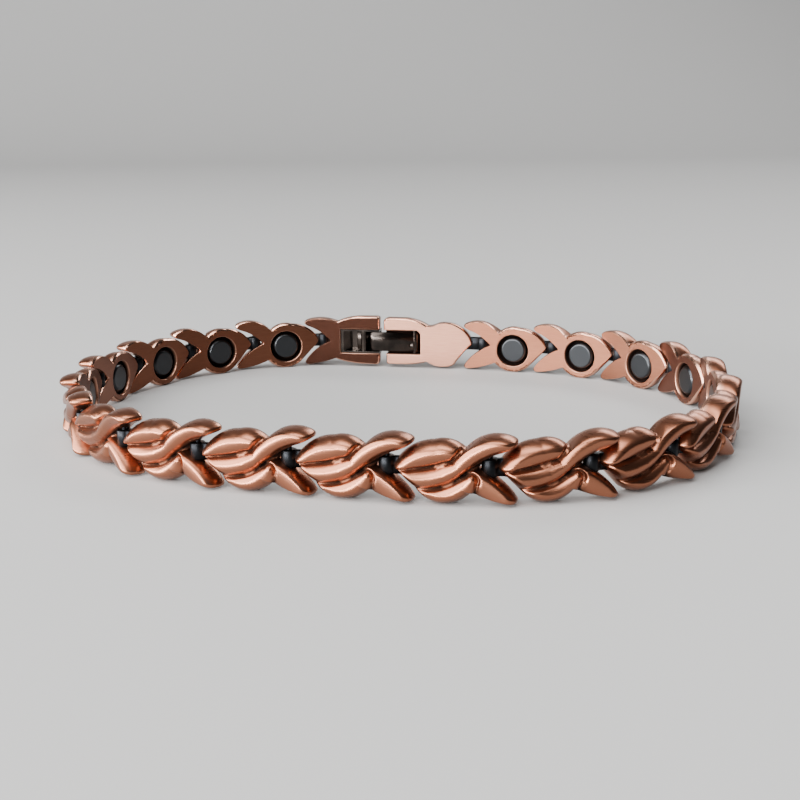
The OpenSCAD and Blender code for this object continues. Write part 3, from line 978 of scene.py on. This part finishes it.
@dataclass(frozen=True)
class Tongue:
    """The steel tongue: flat, bent down over a round shoulder, and hooked under the crossbar."""

    sizes: Sizes = Sizes()
    stud: Point = (8.25, 0.1)
    stud_r: float = 0.36
    stud_h: float = 0.13
    stud_root: float = 0.1
    knuckle_wall: float = 0.3
    crossbar_shares: Point = (0.38, 0.64)
    inside_bend_r: float = 0.5
    bend_clear: float = 0.2
    heel_r: float = 0.4
    hook_share: float = 0.35
    pin_share: float = 0.3
    bevel: float = 0.05
    knuckle_fit: float = 0.002

    def surface(self) -> Surface:
        """A strip of one thickness along its bent line, a round knuckle at its pin, and a round stud.

        Returns:
            The three closed surfaces as one.
        """
        s, heel = self.sizes, self.heel_r
        t, half = s.tongue_t, s.tongue_t / 2
        knuckle = s.pin_bore_r + self.knuckle_wall
        top = -s.pin_depth + knuckle
        crossbar_x = s.pocket_start + s.clasp_clear + sum(self.crossbar_shares) * s.body_r
        bend_r = t + self.inside_bend_r
        bend_x = crossbar_x + s.crossbar_d / 2 + s.clasp_clear + self.bend_clear
        hook_low = -s.pocket_t + 2 * s.clasp_clear + s.box_wall
        hook_x = crossbar_x - self.hook_share * s.body_r + half
        pin_x = s.pocket_end - self.pin_share * s.body_r
        width = s.pocket_h - 4 * s.clasp_clear - 2 * s.box_wall
        middle = (bend_x + bend_r, top - bend_r)
        strip = np.concatenate([
            np.array([[pin_x, top - t], [pin_x, top]]),
            arc_points(middle, bend_r, 90, 180, 18),
            np.array([[bend_x, hook_low + t], [hook_x, hook_low + t]]),
            arc_points((hook_x, hook_low + half), half, 90, 270, 8)[1:],
            arc_points((bend_x + t - heel, hook_low + heel), heel, -90, 0, 8),
            arc_points(middle, bend_r - t, 180, 90, 12),
        ])
        round_end = arc_points((pin_x, -s.pin_depth), knuckle - self.knuckle_fit, 0, 352.5, 48)
        low, high = s.axis_rise - width / 2, s.axis_rise + width / 2
        dome = direction(np.radians(np.linspace(0, 90, 7))) * (self.stud_r, self.stud_h)
        root = [[0, -self.stud_root], [self.stud_r, -self.stud_root]]
        bars = [Prism(outline, low, high, self.bevel).surface((0, 2, 1)) for outline in (strip, round_end)]
        return joined([*bars, turned(np.concatenate([root, dome]), (*self.stud, top))])


def brush_group() -> NodeGroup:
    """A shader group that puts out brush lines and blotches as masks.

    Returns:
        The node group, with inputs Vector, Line Scale and Blotch Scale and outputs Lines and Blotch.
    """
    group = bpy.data.node_groups.new("brush_and_blotch", "ShaderNodeTree")
    group.interface.new_socket("Vector", in_out="INPUT", socket_type="NodeSocketVector")
    for name, value in (("Line Scale", 8.0), ("Blotch Scale", 0.6)):
        group.interface.new_socket(name, in_out="INPUT", socket_type="NodeSocketFloat").default_value = value
    for name in ("Lines", "Blotch"):
        group.interface.new_socket(name, in_out="OUTPUT", socket_type="NodeSocketFloat")
    nodes, links = group.nodes, group.links
    entry, leave = nodes.new("NodeGroupInput"), nodes.new("NodeGroupOutput")
    stretch = nodes.new("ShaderNodeVectorMath")
    stretch.operation = "MULTIPLY"
    stretch.inputs[1].default_value = LINE_STRETCH
    links.new(entry.outputs["Vector"], stretch.inputs[0])
    for name, where, scale, detail, roughness in (
            ("Lines", stretch.outputs[0], "Line Scale", 3.0, 0.6),
            ("Blotch", entry.outputs["Vector"], "Blotch Scale", 4.0, 0.5)):
        noise = nodes.new("ShaderNodeTexNoise")
        noise.inputs["Detail"].default_value = detail
        noise.inputs["Roughness"].default_value = roughness
        links.new(where, noise.inputs["Vector"])
        links.new(entry.outputs[scale], noise.inputs["Scale"])
        links.new(noise.outputs["Fac"], leave.inputs[name])
    return group


class Wiring:
    """Short ways to add and join the nodes of one material."""

    def __init__(self, name: str) -> None:
        """Starts a material whose shader is a plain metal."""
        self.material = bpy.data.materials.new(name)
        self.material.use_nodes = True
        self.nodes = self.material.node_tree.nodes
        self.links = self.material.node_tree.links
        self.shader = self.nodes["Principled BSDF"]
        self.shader.inputs["Metallic"].default_value = 1.0

    def fill(self, node: bpy.types.Node, inputs: dict[str | int, object]) -> None:
        """Fills a node's inputs.

        Args:
            node: The node.
            inputs: For each input's name or number, a socket to join to it or its fixed value.
        """
        for name, value in inputs.items():
            if isinstance(value, Socket):
                self.links.new(value, node.inputs[name])
            else:
                node.inputs[name].default_value = value

    def marks(self, group: NodeGroup, where: Socket, lines: float, blotch: float) -> bpy.types.Node:
        """The brush and blotch group on the given coordinates.

        Args:
            group: The shared group.
            where: The coordinates.
            lines: Scale of the brush lines.
            blotch: Scale of the blotches.

        Returns:
            The group's node.
        """
        node = self.nodes.new("ShaderNodeGroup")
        node.node_tree = group
        self.fill(node, {"Vector": where, "Line Scale": lines, "Blotch Scale": blotch})
        return node

    def mask(self, name: str) -> Socket:
        """A named mask of the mesh.

        Args:
            name: The mask's name.

        Returns:
            Its value over the surface.
        """
        node = self.nodes.new("ShaderNodeAttribute")
        node.attribute_name = name
        return node.outputs["Fac"]

    def span(self, value: Socket, source: Point, target: Point) -> Socket:
        """A value carried smoothly from one range to another.

        Args:
            value: The value.
            source: The range that it comes from.
            target: The range that it goes to.

        Returns:
            The new value.
        """
        node = self.nodes.new("ShaderNodeMapRange")
        node.interpolation_type = "SMOOTHSTEP"
        names = ("From Min", "From Max", "To Min", "To Max")
        self.fill(node, {"Value": value, **dict(zip(names, (*source, *target)))})
        return node.outputs["Result"]

    def mix(self, factor: Socket, a: object, b: object) -> Socket:
        """A colour between two.

        Args:
            factor: How far it is from the first to the second.
            a: The first, a socket or a fixed colour.
            b: The second.

        Returns:
            The colour.
        """
        node = self.nodes.new("ShaderNodeMix")
        node.data_type = "RGBA"
        self.fill(node, {"Factor": factor, "A": a, "B": b})
        return node.outputs["Result"]

    def scaled(self, value: Socket, other: object) -> Socket:
        """The product of a value and a number or another value.

        Args:
            value: The value.
            other: What it is multiplied by.

        Returns:
            The product.
        """
        node = self.nodes.new("ShaderNodeMath")
        node.operation = "MULTIPLY"
        self.fill(node, {0: value, 1: other})
        return node.outputs[0]

    def set(self, socket: str, value: Socket) -> None:
        """Joins a value to a socket of the shader."""
        self.links.new(value, self.shader.inputs[socket])

    def bump(self, height: Socket, strength: float, distance: float) -> None:
        """Fine relief from a height.

        Args:
            height: The height.
            strength: How much of it shows.
            distance: Its depth in metres.
        """
        node = self.nodes.new("ShaderNodeBump")
        self.fill(node, {"Height": height, "Strength": strength, "Distance": distance})
        self.set("Normal", node.outputs["Normal"])


@dataclass(frozen=True)
class AntiqueCopper:
    """Red copper: brushed on the inner face, polished on the crests, polished with a painted rim highlight on
    the edges, dark brown patina in the grooves and painted shade in the bore and pockets.
    """

    name: str = "antique_copper"
    crest: Colour = (0.29, 0.115, 0.066, 1.0)
    satin: Colour = (0.17, 0.066, 0.038, 1.0)
    bright_satin: Colour = (0.2, 0.08, 0.047, 1.0)
    # Edge colour: polished copper with a painted rim highlight.
    rim: Colour = (0.7, 0.38, 0.27, 1.0)
    # Near black: patina in the braid's grooves, and painted shade in the bore and the pockets.
    patina: Colour = (0.02, 0.0105, 0.008, 1.0)
    # Relief range over which the colour clears from that patina and painted shade to bare copper.
    clear_of_patina_and_shade: Point = (0.12, 0.62)
    outer_roughness: Point = (0.27, 0.33)
    inner_roughness: Point = (0.32, 0.38)
    groove_roughness: Colour = (0.75, 0.75, 0.75, 1.0)
    edge_roughness: Colour = (0.22, 0.22, 0.22, 1.0)
    line_scale: float = 9.0
    blotch_scale: float = 0.5
    stretch: float = 0.95
    quarter_turn: float = 0.25
    bump_strength: float = 0.05
    bump_depth: float = 0.00005

    def build(self, group: NodeGroup) -> Material:
        """Makes the material for pieces that carry the masks and the cast UV map.

        Args:
            group: The shared brush and blotch group.

        Returns:
            The material.
        """
        w = Wiring(self.name)
        place = w.nodes.new("ShaderNodeUVMap")
        place.uv_map = "cast"
        marks = w.marks(group, place.outputs["UV"], self.line_scale, self.blotch_scale)
        lines = marks.outputs["Lines"]
        # Low relief turns the copper near black: patina in the grooves, painted shade in the bore and the
        # pockets.
        clear_of_patina_and_shade = w.span(w.mask("relief"), self.clear_of_patina_and_shade, FULL)
        inner = w.mask("inner")
        edge = w.mask("edge")
        brushed = w.mix(w.span(lines, NOISE, FULL), self.satin, self.bright_satin)
        tone = w.mix(inner, self.crest, brushed)
        # The edge mask lifts the colour to the rim colour, a painted rim highlight on polished edges.
        w.set("Base Color", w.mix(edge, w.mix(clear_of_patina_and_shade, self.patina, tone), self.rim))
        outer_rough, inner_rough = (w.span(lines, NOISE, ends)
                                    for ends in (self.outer_roughness, self.inner_roughness))
        rough = w.mix(clear_of_patina_and_shade, self.groove_roughness, w.mix(inner, outer_rough, inner_rough))
        w.set("Roughness", w.mix(edge, rough, self.edge_roughness))
        w.set("Anisotropic", w.scaled(inner, self.stretch))
        w.shader.inputs["Anisotropic Rotation"].default_value = self.quarter_turn
        tangent = w.nodes.new("ShaderNodeTangent")
        tangent.direction_type = "UV_MAP"
        tangent.uv_map = "cast"
        w.set("Tangent", tangent.outputs["Tangent"])
        w.bump(w.scaled(lines, inner), self.bump_strength, self.bump_depth)
        return w.material


@dataclass(frozen=True)
class DarkMetal:
    """A dark metal with fine scratches."""

    name: str
    colour: Colour
    light: Colour
    roughness: Point
    scale: float
    lines_to_blotch: float = 12.0

    def build(self, group: NodeGroup) -> Material:
        """Makes the material on object coordinates.

        Args:
            group: The shared brush and blotch group.

        Returns:
            The material.
        """
        w = Wiring(self.name)
        place = w.nodes.new("ShaderNodeTexCoord")
        marks = w.marks(group, place.outputs["Object"], self.scale, self.scale / self.lines_to_blotch)
        blotch = w.span(marks.outputs["Blotch"], NOISE, FULL)
        w.set("Base Color", w.mix(blotch, self.colour, self.light))
        w.set("Roughness", w.span(marks.outputs["Lines"], NOISE, self.roughness))
        return w.material


def add_piece(piece: Piece, slot: Slot, *nodes: str) -> None:
    """Fixes a piece to the bracelet in place of its CAD nodes.

    Args:
        piece: The new piece.
        slot: Its material slot in the record; not used.
        nodes: The CAD nodes that it stands for.
    """
    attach(piece, "root")
    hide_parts(*nodes)
    LOG.info("%s: %d faces", piece.name, len(piece.data.polygons))


def dress(node: str, material: Material) -> None:
    """Gives a CAD node its finish.

    Args:
        node: Name of the node.
        material: Its finish.
    """
    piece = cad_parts[node]
    for place in piece.material_slots:
        place.material = material
    LOG.info("%s: dressed", node)


@dataclass
class Chain:
    """The hinges round the loop, and where each piece stands on them."""

    sizes: Sizes
    line: LoopLine
    connector_h: float = 1.7
    # The heel fills the fork's V, so that with its near-black finish it stands in for the shade there.
    heel_r: float = 0.78
    bevel: float = 0.1
    round_points: int = 24

    def __post_init__(self) -> None:
        """Works out the hinges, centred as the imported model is."""
        raw = self.line.hinges(self.sizes)
        low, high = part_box("hinge_pins")
        middle = (np.array(low[:2]) + np.array(high[:2])) / 2 / MM
        self.shift = middle - (raw.max(axis=0) + raw.min(axis=0)) / 2
        self.hinges = raw + self.shift

    def matrix(self, start: np.ndarray, end: np.ndarray) -> np.ndarray:
        """From the frame of a piece to the row's frame.

        Args:
            start: Its fork pin in plan.
            end: Its nose pin in plan.

        Returns:
            A four by four matrix in millimetres: X along the pins, Y up and Z towards the wrist.
        """
        x = (end - start) / np.hypot(*(end - start))
        s = self.sizes
        m = np.eye(4)
        m[:3, 0] = (x[0], x[1], 0)
        m[:3, 1] = (0, 0, 1)
        m[:3, 2] = (x[1], -x[0], 0)
        origin = np.array([start[0], start[1], s.base_rise])
        m[:3, 3] = origin + m[:3, :3] @ np.array([-s.fork_pin_x, 0, s.pin_depth])
        return m

    def link_matrix(self, number: int) -> np.ndarray:
        """The place of a link, counted from 1."""
        return self.matrix(self.hinges[2 * number - 1], self.hinges[2 * number])

    def clasp_matrix(self) -> np.ndarray:
        """The place of the clasp's pieces."""
        return self.matrix(self.hinges[-1], self.hinges[0])

    def connectors(self) -> Surface:
        """The connectors, each a bar with a round knuckle at both ends, standing in the row's frame.

        Returns:
            One surface of many closed bars.
        """
        s = self.sizes
        low = s.base_rise + s.axis_rise - self.connector_h / 2
        bars = []
        for start, end in zip(self.hinges[0::2], self.hinges[1::2]):
            heading = math.degrees(math.atan2(*(end - start)[::-1]))
            rounds = []
            for pin, r, first in ((start, s.knuckle_r, heading), (end, self.heel_r, heading - 180)):
                web = math.degrees(math.asin(s.web_t / 2 / r))
                rounds.append(arc_points(tuple(pin), r, first + web, first + 360 - web, self.round_points))
            bars.append(Prism(np.concatenate(rounds), low, low + self.connector_h, self.bevel).surface())
        return joined(bars)


@dataclass
class Bracelet:
    """The links, magnets, hinges and clasp."""

    chain: Chain
    copper: Material
    # Painted shade and painted light copies of the copper, for the clasp's fork and nose.
    shaded_copper: Material
    lit_copper: Material
    hematite: Material
    steel: Material
    shaded_gap_steel: Material

    def links(self) -> None:
        """Makes every link and every magnet."""
        link, magnet = CastLink(self.chain.sizes).surface(), RoundMagnet().surface()
        for number in range(1, self.chain.line.links + 1):
            m = self.chain.link_matrix(number)
            cast = link.placed(f"cast_link_{number:02d}", m, self.copper)
            add_piece(cast, Slot.COPPER, f"link_{number:02d}")
            disc = magnet.placed(f"magnet_disc_{number:02d}", m, self.hematite)
            add_piece(disc, Slot.MAGNET, f"magnet_{number:02d}")

    def clasp(self) -> None:
        """Makes the clasp's copper pieces and its tongue, and dresses its box and pin."""
        m = self.chain.clasp_matrix()
        sizes = self.chain.sizes
        # The fork takes the copper's painted shade copy and the nose its painted light copy.
        for piece, node, finish in ((ClaspFork(sizes), "clasp_fork", self.shaded_copper),
                                    (ClaspNose(sizes), "clasp_nose", self.lit_copper)):
            add_piece(piece.surface().placed(f"cast_{node}", m, finish), Slot.COPPER, node)
        add_piece(Tongue(sizes).surface().placed("bent_tongue", m, self.steel), Slot.STEEL, "clasp_tongue")
        for node in ("clasp_box", "clasp_pin"):
            dress(node, self.steel)

    def hinges(self) -> None:
        """Makes the connectors and dresses their pins."""
        # The connectors and pins are near black: painted shade in the hinge gaps.
        bars = self.chain.connectors().placed("connector_bars", np.eye(4), self.shaded_gap_steel)
        add_piece(bars, Slot.STEEL, "hinge_connectors")
        dress("hinge_pins", self.shaded_gap_steel)


@dataclass(frozen=True)
class Studio:
    """The camera, the pale floor and the soft lights."""

    focal_px: float = 1297.25
    image_px: float = 800.0
    sensor: float = 36.0
    nearest: float = 0.005
    pitch: float = 13.755
    roll: float = 0.679
    stand: Place = (0.334, -144.09, 37.63)
    floor_front: float = -1.2
    floor_flat: float = 0.5
    floor_bend: float = 0.35
    floor_top: float = 1.2
    floor_half: float = 1.5
    floor_columns: int = 9
    floor_colour: Colour = (0.34, 0.337, 0.333, 1.0)
    floor_roughness: float = 0.6
    room_colour: Colour = (0.5, 0.5, 0.52, 1.0)
    room_strength: float = 0.12
    aim: Place = (0, 0, 0.003)

    def camera(self, shift: np.ndarray) -> None:
        """Sets the camera where the photograph was taken from.

        Args:
            shift: From the middle of the loop's line to the row's origin, in millimetres.
        """
        data = bpy.data.cameras.new("photo_camera")
        data.sensor_width = self.sensor
        data.lens = self.sensor * self.focal_px / self.image_px
        data.clip_start = self.nearest
        eye = bpy.data.objects.new("photo_camera", data)
        x, y, z = self.stand
        tilt = Matrix.Rotation(math.radians(90 - self.pitch), 4, "X")
        turn = tilt @ Matrix.Rotation(-math.radians(self.roll), 4, "Z")
        eye.matrix_world = Matrix.Translation(((x + shift[0]) * MM, (y + shift[1]) * MM, z * MM)) @ turn
        bpy.context.collection.objects.link(eye)
        bpy.context.scene.camera = eye

    def floor(self) -> None:
        """A pale sheet that lies flat under the bracelet and curves up far behind it."""
        flat, r, count = self.floor_flat, self.floor_bend, self.floor_columns
        bend = np.radians(np.linspace(6, 90, 15))
        run = np.concatenate([np.linspace(self.floor_front, flat, 12), flat + r * np.sin(bend),
                              np.full(4, flat + r)])
        rise = np.concatenate([np.zeros(12), r - r * np.cos(bend), np.linspace(r + 0.1, self.floor_top, 4)])
        across = np.linspace(-self.floor_half, self.floor_half, count)
        y, x = np.meshgrid(run, across, indexing="ij")
        points = np.stack([x, y, np.broadcast_to(rise[:, None], x.shape)], axis=-1)
        i, j = np.meshgrid(np.arange(len(run) - 1), np.arange(count - 1), indexing="ij")
        a = (i * count + j).ravel()
        mesh = bpy.data.meshes.new("studio_floor")
        mesh.from_pydata(points.reshape(-1, 3), [], np.stack([a, a + 1, a + count + 1, a + count], axis=-1))
        mesh.polygons.foreach_set("use_smooth", np.ones(len(mesh.polygons), bool))
        material = bpy.data.materials.new("pale_floor")
        material.use_nodes = True
        shader = material.node_tree.nodes["Principled BSDF"]
        shader.inputs["Base Color"].default_value = self.floor_colour
        shader.inputs["Roughness"].default_value = self.floor_roughness
        mesh.materials.append(material)
        sheet = bpy.data.objects.new("studio_floor", mesh)
        bpy.context.collection.objects.link(sheet)

    def light(self, name: str, place: Place, size: Point, power: float) -> None:
        """A soft box that faces the bracelet.

        Args:
            name: Name of the light.
            place: Its place in metres.
            size: Its width and height in metres.
            power: Its power in watts.
        """
        data = bpy.data.lights.new(name, "AREA")
        data.shape = "RECTANGLE"
        data.size, data.size_y = size
        data.energy = power
        lamp = bpy.data.objects.new(name, data)
        turn = (Vector(self.aim) - Vector(place)).to_track_quat("-Z", "Y").to_matrix().to_4x4()
        lamp.matrix_world = Matrix.Translation(place) @ turn
        bpy.context.collection.objects.link(lamp)

    def build(self, shift: np.ndarray) -> None:
        """Makes the camera, the floor, the lights and the even light of the room.

        Args:
            shift: From the middle of the loop's line to the row's origin, in millimetres.
        """
        self.camera(shift)
        self.floor()
        self.light("key_box", (-0.4, -0.31, 0.4), (0.85, 0.42), 14.0)
        self.light("low_box", (-0.49, -0.31, 0.085), (1.2, 0.08), 19.0)
        self.light("back_box", (0.3, 0.45, 0.4), (0.4, 0.2), 2.0)
        self.light("top_box", (-0.05, -0.08, 0.52), (0.4, 0.2), 2.4)
        world = bpy.data.worlds.new("studio_room")
        world.use_nodes = True
        background = world.node_tree.nodes["Background"]
        background.inputs["Color"].default_value = self.room_colour
        background.inputs["Strength"].default_value = self.room_strength
        bpy.context.scene.world = world


def main() -> None:
    """Builds the bracelet and its studio."""
    logging.basicConfig(level=logging.INFO, format="%(message)s")
    group = brush_group()
    chain = Chain(Sizes(), LoopLine())
    Studio().build(chain.shift)
    finishes = (
        AntiqueCopper(),
        # Copies of the copper with painted shade on the fork's inner face and painted light on the nose's
        # inner face.
        AntiqueCopper("painted_shade_copper", satin=(0.018, 0.0072, 0.0048, 1),
                      bright_satin=(0.024, 0.0096, 0.0062, 1)),
        AntiqueCopper("painted_light_copper", satin=(0.3, 0.14, 0.095, 1), bright_satin=(0.36, 0.175, 0.12, 1)),
        DarkMetal("hematite", (0.036, 0.038, 0.041, 1), (0.04, 0.042, 0.045, 1), (0.29, 0.31), 900.0),
        # Its warm tint is a painted copper reflection.
        DarkMetal("dark_steel", (0.026, 0.0222, 0.02, 1), (0.056, 0.045, 0.039, 1), (0.18, 0.27), 6000.0),
        # Near-black steel: painted shade in the hinge gaps.
        DarkMetal("shaded_gap_steel", (0.01, 0.0105, 0.012, 1), (0.016, 0.017, 0.019, 1), (0.35, 0.45), 6000.0),
    )
    bracelet = Bracelet(chain, *(finish.build(group) for finish in finishes))
    bracelet.links()
    bracelet.clasp()
    bracelet.hinges()


if __name__ == "__main__":
    main()
